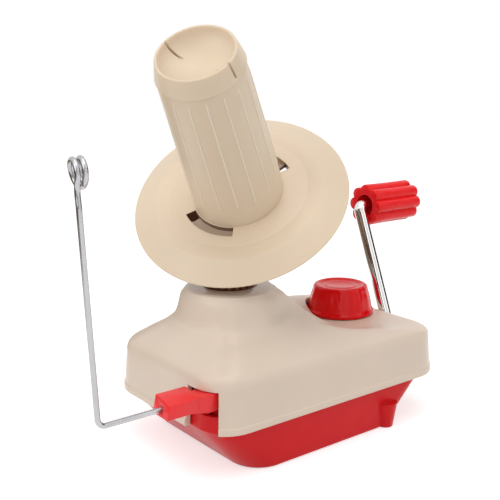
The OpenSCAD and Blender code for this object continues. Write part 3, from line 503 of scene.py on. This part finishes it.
def crown_ring(share, inset, top):
    ring = []
    for x, y in cover_outline(WALL_INSET + inset):
        a = math.atan2(y, x)
        r = NECK_R - inset
        ring.append((along(r * math.cos(a), x, share), along(r * math.sin(a), y, share),
                     min(crown_height(share, a) - inset, top)))
    return ring


def neck_ring(r, z):
    return [(r * math.cos(math.atan2(y, x)), r * math.sin(math.atan2(y, x)), z)
            for x, y in cover_outline(WALL_INSET)]


def make_cover():
    shares = [0.995, 0.985, 0.97, 0.95, 0.92, 0.88, 0.83, 0.77, 0.7, 0.64, 0.58, 0.53, 0.49,
              0.455, 0.42, 0.385, 0.35, 0.315, 0.28, 0.25, 0.22, 0.195, 0.17, 0.15,
              0.13, 0.11, 0.085, 0.06, 0.04, 0.02]
    wall_foot = RIM_Z + BEAD_H + 0.6
    rings = [at(cover_outline(0.3), RIM_Z), at(cover_outline(0), RIM_Z + 0.3),
             at(cover_outline(0), RIM_Z + BEAD_H - 0.25), at(cover_outline(0.12), RIM_Z + BEAD_H),
             at(cover_outline(BEAD_OUT - 0.1), RIM_Z + BEAD_H + 0.2),
             at(cover_outline(BEAD_OUT), wall_foot)]
    for t in (0.25, 0.5, 0.75, 0.92):
        rings.append(at(cover_outline(BEAD_OUT + WALL_LEAN * t), along(wall_foot, SHOULDER_Z, t)))
    rings.append(at(cover_outline(WALL_INSET), SHOULDER_Z))
    rings += [crown_ring(s, 0, NECK_Z - NECK_SOFT) for s in shares]
    rings += [neck_ring(NECK_R, NECK_Z - NECK_SOFT), neck_ring(NECK_R - 0.4, NECK_Z - 0.6),
              neck_ring(NECK_R - 1.2, NECK_Z - 0.4),
              neck_ring(NECK_FLAT_R, NECK_Z - 0.15), neck_ring(SOCKET_STEP_R, NECK_Z),
              neck_ring(SOCKET_STEP_R, NECK_Z - SOCKET_STEP), neck_ring(SOCKET_R, NECK_Z - SOCKET_STEP),
              neck_ring(SOCKET_R, NECK_Z - NECK_PLATE)]
    for s in (0.14, 0.18, 0.22, 0.3, 0.4, 0.5, 0.66, 0.78, 0.94):
        rings.append(crown_ring(s, COVER_WALL, NECK_Z - NECK_PLATE - 0.4))
    rings += [at(cover_outline(WALL_INSET + COVER_WALL), SHOULDER_Z - COVER_WALL),
              at(cover_outline(BEAD_OUT + COVER_WALL), RIM_Z)]
    ob = loft("cover_shell", rings, IVORY, closed=True)
    boolean(ob, "UNION", drum_tool(CLAMP_X, CLAMP_Y, SEAT_Z - POCKET_FLOOR, SEAT_Z, SEAT_R))
    # The corner's opening for the guide's holder
    reach, cx, cy, back = 8, 5.8 - COVER_LEFT, 5.9 - COVER_HALF, GUIDE_Y + 12
    plan = [(-COVER_LEFT - 15, back), (-COVER_LEFT - 15, cy - reach), (cx - reach, cy - reach),
            (cx + reach, cy + reach), (cx + reach, back)]
    opening = loft("tool", [at(plan, RIM_Z - 5), at(plan, ARM_LOW + ARM_H + 0.4)], IVORY)
    boolean(ob, "DIFFERENCE", drum_tool(CLAMP_X, CLAMP_Y, SEAT_Z, NECK_Z, POCKET_R), opening,
            drum_tool(CLAMP_X, CLAMP_Y, SEAT_Z - 10, SEAT_Z + 10, STUD_HOLE_R, 48))
    # The hole in the end wall for the crank's bush
    wall_hole = drum_tool(0, 0, -18, 18, BUSH_HOLE_R, 48)
    wall_hole.matrix_world = (Matrix.Translation(Vector((COVER_RIGHT - 2, 0, CRANK_Z)) * MM)
                              @ Matrix.Rotation(math.pi / 2, 4, "Y"))
    bpy.context.view_layer.update()
    boolean(ob, "DIFFERENCE", wall_hole)
    smooth(ob, 28)
    place(ob, "casing", "ivory_cover", "cover")


make_cover()


# Tray

def tray_ring(z, inset):
    s = z / RIM_Z
    return at(outline(inset - TRAY_LEFT - FLARE_LEFT * s, TRAY_RIGHT + FLARE_RIGHT * s - inset,
                      TRAY_HALF + FLARE_SIDE * s - inset, TRAY_CORNER - inset), z)


def joined(name, parts):
    """One object from several meshes that only touch or overlap."""
    bm = bmesh.new()
    for p in parts:
        p.data.transform(p.matrix_world)
        bm.from_mesh(p.data)
    me = bpy.data.meshes.new(name)
    bm.to_mesh(me)
    bm.free()
    me.materials.append(parts[0].data.materials[0])
    for p in parts:
        bpy.data.objects.remove(p, do_unlink=True)
    ob = bpy.data.objects.new(name, me)
    scene.collection.objects.link(ob)
    return ob


def round_post(x, y, z0, z1, r, flare=0.0, soft=0.6, steps=48):
    profile = [(0, z0), (r - soft, z0), (r - soft * 0.3, z0 + soft * 0.3), (r, z0 + soft),
               (r + flare, z1), (0, z1)]
    rings = []
    for q, z in profile:
        q = max(q, 0.001)
        rings.append([(x + q * math.cos(2 * math.pi * i / steps),
                       y + q * math.sin(2 * math.pi * i / steps), z) for i in range(steps)])
    return loft("post", rings, TRAY_RED)


def jaw_room():
    return box_tool((CLAMP_X - JAW_ROOM_BACK, CLAMP_Y - JAW_ROOM_HALF, -1),
                    (CLAMP_X + JAW_ROOM_FRONT, CLAMP_Y + JAW_ROOM_HALF, JAW_ROOM_TOP))


def make_tray():
    rings = []
    for i in range(9):
        a = math.radians(90 * i / 8)
        rings.append(tray_ring(TRAY_ROUND * (1 - math.cos(a)), TRAY_ROUND * (1 - math.sin(a))))
    rings += [tray_ring(along(TRAY_ROUND, RIM_Z, t), 0) for t in (0.25, 0.5, 0.75, 1)]
    for inset in (LIP_LEAN, LIP_LEAN + TRAY_WALL):
        rings.append([(x, y, z + LIP_H) for x, y, z in tray_ring(RIM_Z, inset)])
    rings += [tray_ring(RIM_Z, TRAY_WALL), tray_ring(FLOOR_T, TRAY_WALL)]
    shell = loft("tray_shell", rings, TRAY_RED)
    boolean(shell, "DIFFERENCE", jaw_room())
    parts = [shell]
    parts += [round_post(FOOT_X, s * FOOT_SPAN / 2, 0, FOOT_H, FOOT_R, FOOT_FLARE) for s in (-1, 1)]
    parts += [round_post(x, y, FLOOR_T / 2, RIM_Z, POST_R) for x in SCREW_X for y in (-SCREW_Y, SCREW_Y)]
    parts.append(round_post(*PIVOT, RIM_Z - 3, ARM_LOW, 4.0))
    half = JAW_ROOM_HALF + HOUSING_WALL
    housing = box_tool((CLAMP_X - JAW_ROOM_BACK - HOUSING_WALL, CLAMP_Y - half, HOUSING_LOW),
                       (CLAMP_X, CLAMP_Y + half, HOUSING_TOP))
    boolean(housing, "UNION", drum_tool(CLAMP_X, CLAMP_Y, BOSS_LOW, BOSS_TOP, BOSS_R))
    boolean(housing, "DIFFERENCE", jaw_room(), drum_tool(CLAMP_X, CLAMP_Y, SLEEVE_SEAT, 40, SLEEVE_R),
            drum_tool(CLAMP_X, CLAMP_Y, -1, 32, STUD_R))
    parts.append(housing)
    ob = joined("tray", parts)
    smooth(ob, 30)
    place(ob, "casing", "base_red", "base_tray")


make_tray()


# Spindle

SPINDLE = (Matrix.Rotation(LEAN, 4, "Z") @ Matrix.Translation((0, 0, CROSS_Z * MM))
           @ Matrix.Rotation(TILT, 4, "Y"))


def on_spindle(ob):
    ob.data.transform(SPINDLE)


def arc_block(inner, outer, low, high, start, end, n=24):
    """A piece of a ring about the spindle, between two radii, two heights and two angles in degrees."""
    plan = []
    for r, order in ((inner, range(n + 1)), (outer, range(n, -1, -1))):
        for i in order:
            a = math.radians(along(start, end, i / n))
            plan.append((r * math.cos(a), r * math.sin(a)))
    return loft("tool", [at(plan, low), at(plan, high)], CREAM)


# How strongly the painted shade shows on each face of a slot: the recess colour stands in for the shadow
# inside the slots
HOLE_DARK, INNER_DARK, LEDGE_DARK, OUTER_DARK = 1.0, 0.85, 0.4, 0.2


def make_disc():
    under = DISC_TOP - DISC_T
    profile = [(BUSH_R, DISC_TOP), (GROOVE_R, DISC_TOP), (GROOVE_R + 0.4, DISC_TOP - GROOVE_DEPTH),
               (GROOVE_R + GROOVE_W - 0.4, DISC_TOP - GROOVE_DEPTH), (GROOVE_R + GROOVE_W, DISC_TOP),
               (DISC_FLAT_R, DISC_TOP),
               (DISC_R - 0.7, DISC_TOP - DISC_RISE + 0.27), (DISC_R - 0.2, DISC_TOP - DISC_RISE - 0.03),
               (DISC_R, DISC_TOP - DISC_RISE - 0.35), (DISC_R - 0.1, DISC_TOP - DISC_RISE - 0.7),
               (DISC_R - 0.5, DISC_TOP - DISC_RISE - 0.8), (DISC_R - 4.0, under - DISC_RISE * 0.69),
               (DISC_FLAT_R, under), (DISC_BOSS_R, under),
               (DISC_BOSS_R, DISC_BOSS_END), (BUSH_R, DISC_BOSS_END)]
    ob = lathe("disc", profile, CREAM, 192)
    inner, outer = SLOT_R - SLOT_WALL, SLOT_R + SLOT_W + SLOT_WALL
    ledge = DISC_TOP - SLOT_LEDGE
    for turn, hole in SLOT_HOLES.items():
        first = turn + SLOT_END - SLOT_ANGLE
        last = turn + SLOT_END
        boolean(ob, "UNION", arc_block(inner, outer, ledge - SLOT_FLOOR, under + DISC_T / 2,
                                       first - SLOT_WALL_ANGLE, last + SLOT_WALL_ANGLE),
                arc_block(inner, outer, ledge - SLOT_FLAP, ledge,
                          first - SLOT_WALL_ANGLE, first + FLAP_ANGLE, 4))
        boolean(ob, "DIFFERENCE",
                arc_block(SLOT_R, SLOT_R + SLOT_W, ledge, DISC_TOP + SLOT_CUT_UP, first, last),
                arc_block(SLOT_R, SLOT_R + SLOT_W, ledge - SLOT_CUT_DOWN, DISC_TOP + SLOT_CUT_UP,
                          first, first + hole, 8))
    # Painted shade: the faces inside the slots get a dark brown that stands in for their shadow.
    paint_slot_shade(ob, ledge)
    on_spindle(ob)
    smooth(ob, 15)
    place(ob, "spindle", "ivory_spindle", "winding_disc")


def paint_slot_shade(ob, ledge):
    """Marks the faces inside the slots with painted shade: 1 in the hole, less on the ledge and its walls.
    """
    field = ob.data.attributes.new("recess", "FLOAT", "FACE")
    for face in ob.data.polygons:
        x, y, z = face.center / MM
        r = math.hypot(x, y)
        past = (math.degrees(math.atan2(y, x)) - SLOT_END + SLOT_ANGLE + 0.3) % 360
        slot = 0 if past < 180 else 180
        past -= slot + 0.3
        if z < DISC_TOP - 0.05 and SLOT_R - 0.2 < r < SLOT_R + SLOT_W + 0.2 and past < SLOT_ANGLE + 0.2:
            if past < SLOT_HOLES[slot] + 0.2:
                field.data[face.index].value = HOLE_DARK
            elif z > ledge - 0.05:
                field.data[face.index].value = (INNER_DARK if r < SLOT_R + 0.2 else
                                                OUTER_DARK if r > SLOT_R + SLOT_W - 0.2 else LEDGE_DARK)


def make_cone():
    low, high = DISC_TOP + RIDGE_FOOT, CONE_TOP - RIDGE_TOP
    angles = []
    for k in range(RIDGES):
        centre = RIDGE_AT + 360 * k / RIDGES
        angles += [centre + d for d in (-1.6, -1.0, -0.35, 0.35, 1.0, 1.6)]
        angles += [centre + 1.6 + (360 / RIDGES - 3.2) * i / 7 for i in range(1, 7)]

    def lift(a, r, z):
        off = abs((a - RIDGE_AT + 180 / RIDGES) % (360 / RIDGES) - 180 / RIDGES)
        if z <= low or z >= high or r < CONE_TOP_R:
            return 0
        ends = min(1, (z - low) / 3, (high - z) / 5)
        return RIDGE_H * ends if off < 0.4 else 0

    side = [DISC_TOP + 0.6, DISC_TOP + 4, DISC_TOP + 10, low, low + 1.5, low + 3.1]
    side += [along(low + 3.1, high - 5.1, i / 8) for i in range(1, 9)]
    side += [high - 2.5, high, high + 1.5]
    top = CONE_NECK_R - COLLAR_STEP

    def wall(z):
        return along(CONE_FOOT_R, top, (z - DISC_TOP) / (CONE_H - COLLAR_H))

    profile = [(CONE_HOLLOW_R, DISC_TOP), (CONE_FOOT_R - 0.1, DISC_TOP)]
    profile += [(wall(z), z) for z in side]
    c = CONE_TOP - COLLAR_H
    profile += [(top, c - 0.1), (top + 0.1, c), (CONE_NECK_R - 0.15, c + 0.05), (CONE_NECK_R, c + 0.25),
                (along(CONE_NECK_R, CONE_TOP_R, 0.5), c + COLLAR_H * 0.5),
                (CONE_TOP_R + 0.12, CONE_TOP - 1.0), (CONE_TOP_R - 0.1, CONE_TOP - 0.35),
                (CONE_TOP_R - 0.55, CONE_TOP - 0.02), (DISH_LIP_R, CONE_TOP - 0.25)]
    n = 14
    for i in range(1, n):
        a = math.radians(90 * i / n)
        profile.append((DISH_R * math.cos(a), CONE_TOP - DISH_DEPTH * math.sin(a)))
    dish = CONE_TOP - DISH_DEPTH
    profile += [(AXIS_R, dish), (AXIS_R, dish - DISH_T), (12, dish - DISH_T), (CONE_HOLLOW_TOP_R, dish - 5)]
    ob = lathe("cone", profile, CREAM, angles=angles, lift=lift)
    # Field for the painted highlight: 1 on the ridge tops, where the lighter colour is mixed in.
    painted_ridge_highlight = ob.data.attributes.new("painted_ridge_highlight", "FLOAT", "POINT")
    for v in ob.data.vertices:
        x, y, z = v.co / MM
        painted_ridge_highlight.data[v.index].value = 1.0 if low < z < high and math.hypot(x, y) > wall(z) + 0.1 else 0.0
    slit = box_tool((-40, -SLIT_W / 2, CONE_TOP - SLIT_DEPTH), (40, SLIT_W / 2, CONE_TOP + 10))
    slit.matrix_world = Matrix.Rotation(math.radians(SLIT_ANGLE), 4, "Z")
    bpy.context.view_layer.update()
    boolean(ob, "DIFFERENCE", slit)
    web_profile = [(BUSH_R, WEB_LOW), (WEB_R, WEB_LOW), (WEB_R, WEB_TOP), (WEB_HUB_R, WEB_TOP),
                   (WEB_HUB_R, WEB_HUB_TOP), (BUSH_R, WEB_HUB_TOP)]
    web = lathe("web", web_profile, CREAM, 96)
    ob = joined("cone", [ob, web])
    on_spindle(ob)
    smooth(ob, 24)
    place(ob, "spindle", "ivory_spindle", "winding_cone")


make_disc()
make_cone()


# Knob

def make_knob():
    h = KNOB_H
    profile = [(KNOB_BORE_R, 0), (KNOB_R - 0.5, 0), (KNOB_R - 0.1, 0.3), (KNOB_R, 0.9),
               (KNOB_R, 1.7), (KNOB_R - 0.35, 2.3), (KNOB_R - 0.9, 2.7), (KNOB_R - 1.1, 3.3)]
    for i in range(1, 9):
        t = i / 9
        swell = 0.35 * math.sin(math.pi * t)
        profile.append((along(KNOB_R - 1.1, KNOB_TOP_R + 0.7, t) + swell, along(3.3, h - 2.2, t)))
    profile += [(KNOB_TOP_R + 0.75, h - 2.0), (KNOB_TOP_R + 0.45, h - 1.0), (KNOB_TOP_R - 0.1, h - 0.35),
                (KNOB_TOP_R - 0.9, h - 0.03), (KNOB_TOP_R - 2.0, h - 0.05), (KNOB_TOP_R - 2.8, h - 0.45),
                (KNOB_TOP_R - 3.6, h - 0.9), (KNOB_TOP_R - 5.0, h - 1.05), (KNOB_TOP_R - 6.2, h - 0.85),
                (KNOB_TOP_R - 6.9, h - 0.6), (KNOB_TOP_R - 7.6, h - 0.85), (4, h - 1.15), (AXIS_R, h - 1.2),
                (AXIS_R, h - 6), (KNOB_BORE_R, h - 6)]

    def lift(a, r, z):
        if 3 < z < h - 1.5 and r > KNOB_TOP_R:
            ends = math.sin(math.pi * (z - 3) / (h - 4.5)) ** 0.5
            return KNOB_FLUTE_DEPTH * ends * (math.cos(math.radians(a * KNOB_FLUTES)) - 1)
        return 0

    ob = lathe("knob", profile, KNOB_RED, 192, lift=lift)
    ob.data.transform(Matrix.Translation(Vector((CLAMP_X, CLAMP_Y, SEAT_Z + KNOB_GAP)) * MM))
    smooth(ob, 40)
    place(ob, "knob", "knob_red", "clamp_knob")


make_knob()


# Handle

def make_grip():
    start = CRANK_X + CRANK_R + GRIP_GAP
    bore, recess = CRANK_R + 0.06, CRANK_R + 2.62
    y0, z0 = CRANK_ARM * math.sin(CRANK_LEAN), CRANK_Z + CRANK_ARM * math.cos(CRANK_LEAN)
    steps = 160
    reach, pitch = GRIP_D / 2 - GRIP_LOBE_R, 360 / GRIP_LOBES

    def ring(x, shrink):
        """Eight round lobes that meet in sharp notches."""
        out = []
        for i in range(steps):
            a = 360 * i / steps
            d = math.radians((a + pitch / 2) % pitch - pitch / 2)
            r = reach * math.cos(d) + math.sqrt(GRIP_LOBE_R ** 2 - (reach * math.sin(d)) ** 2) - shrink
            out.append((x, y0 + r * math.cos(math.radians(a)), z0 + r * math.sin(math.radians(a))))
        return out

    def circle(x, r):
        return [(x, y0 + r * math.cos(2 * math.pi * i / steps), z0 + r * math.sin(2 * math.pi * i / steps))
                for i in range(steps)]

    end = start + GRIP_L
    rings = [circle(start + GRIP_MOUTH, GRIP_MOUTH_R), circle(start + 0.4, GRIP_MOUTH_R),
             circle(start, GRIP_MOUTH_R + 0.4), ring(start, 0.55), ring(start + 0.25, 0.18),
             ring(start + 0.8, 0), ring(start + 10, 0.12), ring(start + 20, 0.2), ring(start + 30, 0.12),
             ring(end - 1.4, 0), ring(end - 0.6, 0.3), ring(end - 0.1, 0.8), ring(end, 1.1),
             circle(end, recess + 0.3), circle(end - 0.3, recess), circle(end - GRIP_CAP_DEPTH, recess),
             circle(end - GRIP_CAP_DEPTH, bore), circle(start + GRIP_MOUTH, bore)]
    ob = loft("grip", rings, GRIP_RED, closed=True)
    smooth(ob, 38)
    place(ob, "grip", "grip_red", "handle_grip")


make_grip()


# Yarn guide

def make_arm():
    left = BLOCK_X - BLOCK_L
    ob = new_object("arm", *arm_mesh(left), ARM_RED)
    boolean(ob, "DIFFERENCE", socket_tool(left))
    bev = ob.modifiers.new("soften", "BEVEL")
    bev.width = 0.0004
    bev.segments = 2
    bev.limit_method = "ANGLE"
    bev.angle_limit = math.radians(40)
    bake(ob)
    smooth(ob, 35)
    place(ob, "casing", "guide_red", "guide_arm")


def arm_mesh(left):
    """A block whose top falls to the front and whose end leans in, then a lower arm to the pivot."""
    right = PIVOT[0] + PIVOT_R
    lean = END_LEAN / (BLOCK_TOP + BLOCK_W * math.tan(BLOCK_TILT) - BLOCK_LOW)

    def section(s):
        wide, slim = GUIDE_Y + s * BLOCK_W / 2, GUIDE_Y + s * ARM_W / 2
        inner = PIVOT[1] + s * ARM_W / 2
        top = BLOCK_TOP + s * BLOCK_W / 2 * math.tan(BLOCK_TILT)
        arm_top = ARM_LOW + ARM_H
        return [(left, wide, BLOCK_LOW), (BLOCK_X - BLOCK_L / 4, wide, BLOCK_LOW),
                (BLOCK_X, slim, along(BLOCK_LOW, ARM_LOW, 0.43)),
                (BLOCK_X + BLOCK_L / 3, along(slim, inner, 0.35), ARM_LOW), (PIVOT[0], inner, ARM_LOW),
                (right, inner, ARM_LOW), (right, inner, arm_top), (PIVOT[0], inner, arm_top),
                (BLOCK_X + 1, slim, arm_top),
                (BLOCK_X, slim, top), (BLOCK_X - 0.5, wide, top),
                (left + lean * (top - BLOCK_LOW), wide, top)]

    front, back = section(-1), section(1)
    n = len(front)
    faces = [(j, n + j, n + (j + 1) % n, (j + 1) % n) for j in range(n)]
    quads = [(0, 1, 10, 11), (1, 2, 9, 10), (2, 3, 8, 9), (3, 4, 7, 8), (4, 5, 6, 7)]
    faces += quads + [tuple(n + k for k in reversed(q)) for q in quads]
    return front + back, faces


def socket_tool(x0):
    t = drum_tool(0, 0, -1, 16, WIRE_R + WIRE_FIT, 24)
    t.matrix_world = (Matrix.Translation(Vector((x0, GUIDE_Y, GUIDE_Z)) * MM)
                      @ Matrix.Rotation(math.pi / 2, 4, "Y"))
    bpy.context.view_layer.update()
    return t


def sweep(name, path, r, material, sides=20):
    """A round tube along a path, with rounded ends."""
    pts = [Vector(p) for p in path]
    dirs = []
    for i in range(len(pts)):
        dirs.append((pts[min(i + 1, len(pts) - 1)] - pts[max(i - 1, 0)]).normalized())
    side = Vector((0, 1, 0))
    rings = []
    for i, (p, d) in enumerate(zip(pts, dirs)):
        side = (side - d * side.dot(d)).normalized()
        other = d.cross(side)
        ends = [(0, r)]
        if i == 0:
            ends = [(-r * 0.35, r * 0.55), (-r * 0.2, r * 0.88), (0, r)]
        if i == len(pts) - 1:
            ends = [(0, r), (r * 0.2, r * 0.88), (r * 0.35, r * 0.55)]
        for push, q in ends:
            rings.append([p + d * push + side * q * math.cos(2 * math.pi * k / sides)
                          + other * q * math.sin(2 * math.pi * k / sides) for k in range(sides)])
    return loft(name, rings, material)


def make_wire():
    stem = Vector((-GUIDE_X - GUIDE_LEAN, GUIDE_Y, EYELET_Z - EYELET_R - STEM_SHORT))
    corner = Vector((-GUIDE_X, GUIDE_Y, GUIDE_Z))
    inner = Vector((BLOCK_X - BLOCK_L + WIRE_IN, GUIDE_Y, GUIDE_Z))
    up = (stem - corner).normalized()
    level = Vector((-1, 0, 0))
    turn = math.acos(level.dot(up))
    trim = GUIDE_BEND * math.tan(turn / 2)
    across = (up - level * level.dot(up)).normalized()
    centre = corner - level * trim + across * GUIDE_BEND
    path = [along(inner, corner - level * trim, i / 12) for i in range(13)]
    path += [centre + GUIDE_BEND * (level * math.sin(turn * i / 12) - across * math.cos(turn * i / 12))
             for i in range(1, 13)]
    bend_end = path[-1]
    path += [along(bend_end, stem, i / 20) for i in range(1, 21)]

    axis = Vector((math.cos(EYELET_YAW) * math.cos(EYELET_RISE),
                   -math.sin(EYELET_YAW) * math.cos(EYELET_RISE), math.sin(EYELET_RISE)))
    front = Vector((-math.sin(EYELET_YAW), -math.cos(EYELET_YAW), 0))
    upper = front.cross(axis)
    middle = Vector((stem.x, stem.y, EYELET_Z))

    def out(a):
        return front * math.cos(math.radians(a)) + upper * math.sin(math.radians(a))

    def coil(a):
        return middle + EYELET_R * (out(a) - front) + EYELET_PITCH * a / 360 * axis

    first = coil(EYELET_START)
    back = EYELET_R * out(EYELET_START - 90)
    for i in range(1, 12):
        t = i / 12
        path.append((1 - t) ** 3 * stem + 3 * (1 - t) ** 2 * t * (stem + Vector((0, 0, STEM_PULL)))
                    + 3 * (1 - t) * t * t * (first + back) + t ** 3 * first)
    path += [coil(EYELET_START + 360 * i / 48) for i in range(int(48 * EYELET_TURNS) + 1)]
    ob = sweep("wire", path, WIRE_R, WIRE)
    smooth(ob, 50)
    place(ob, "guide", "wire_steel", "guide_wire")


make_arm()
make_wire()

bpy.context.view_layer.update()
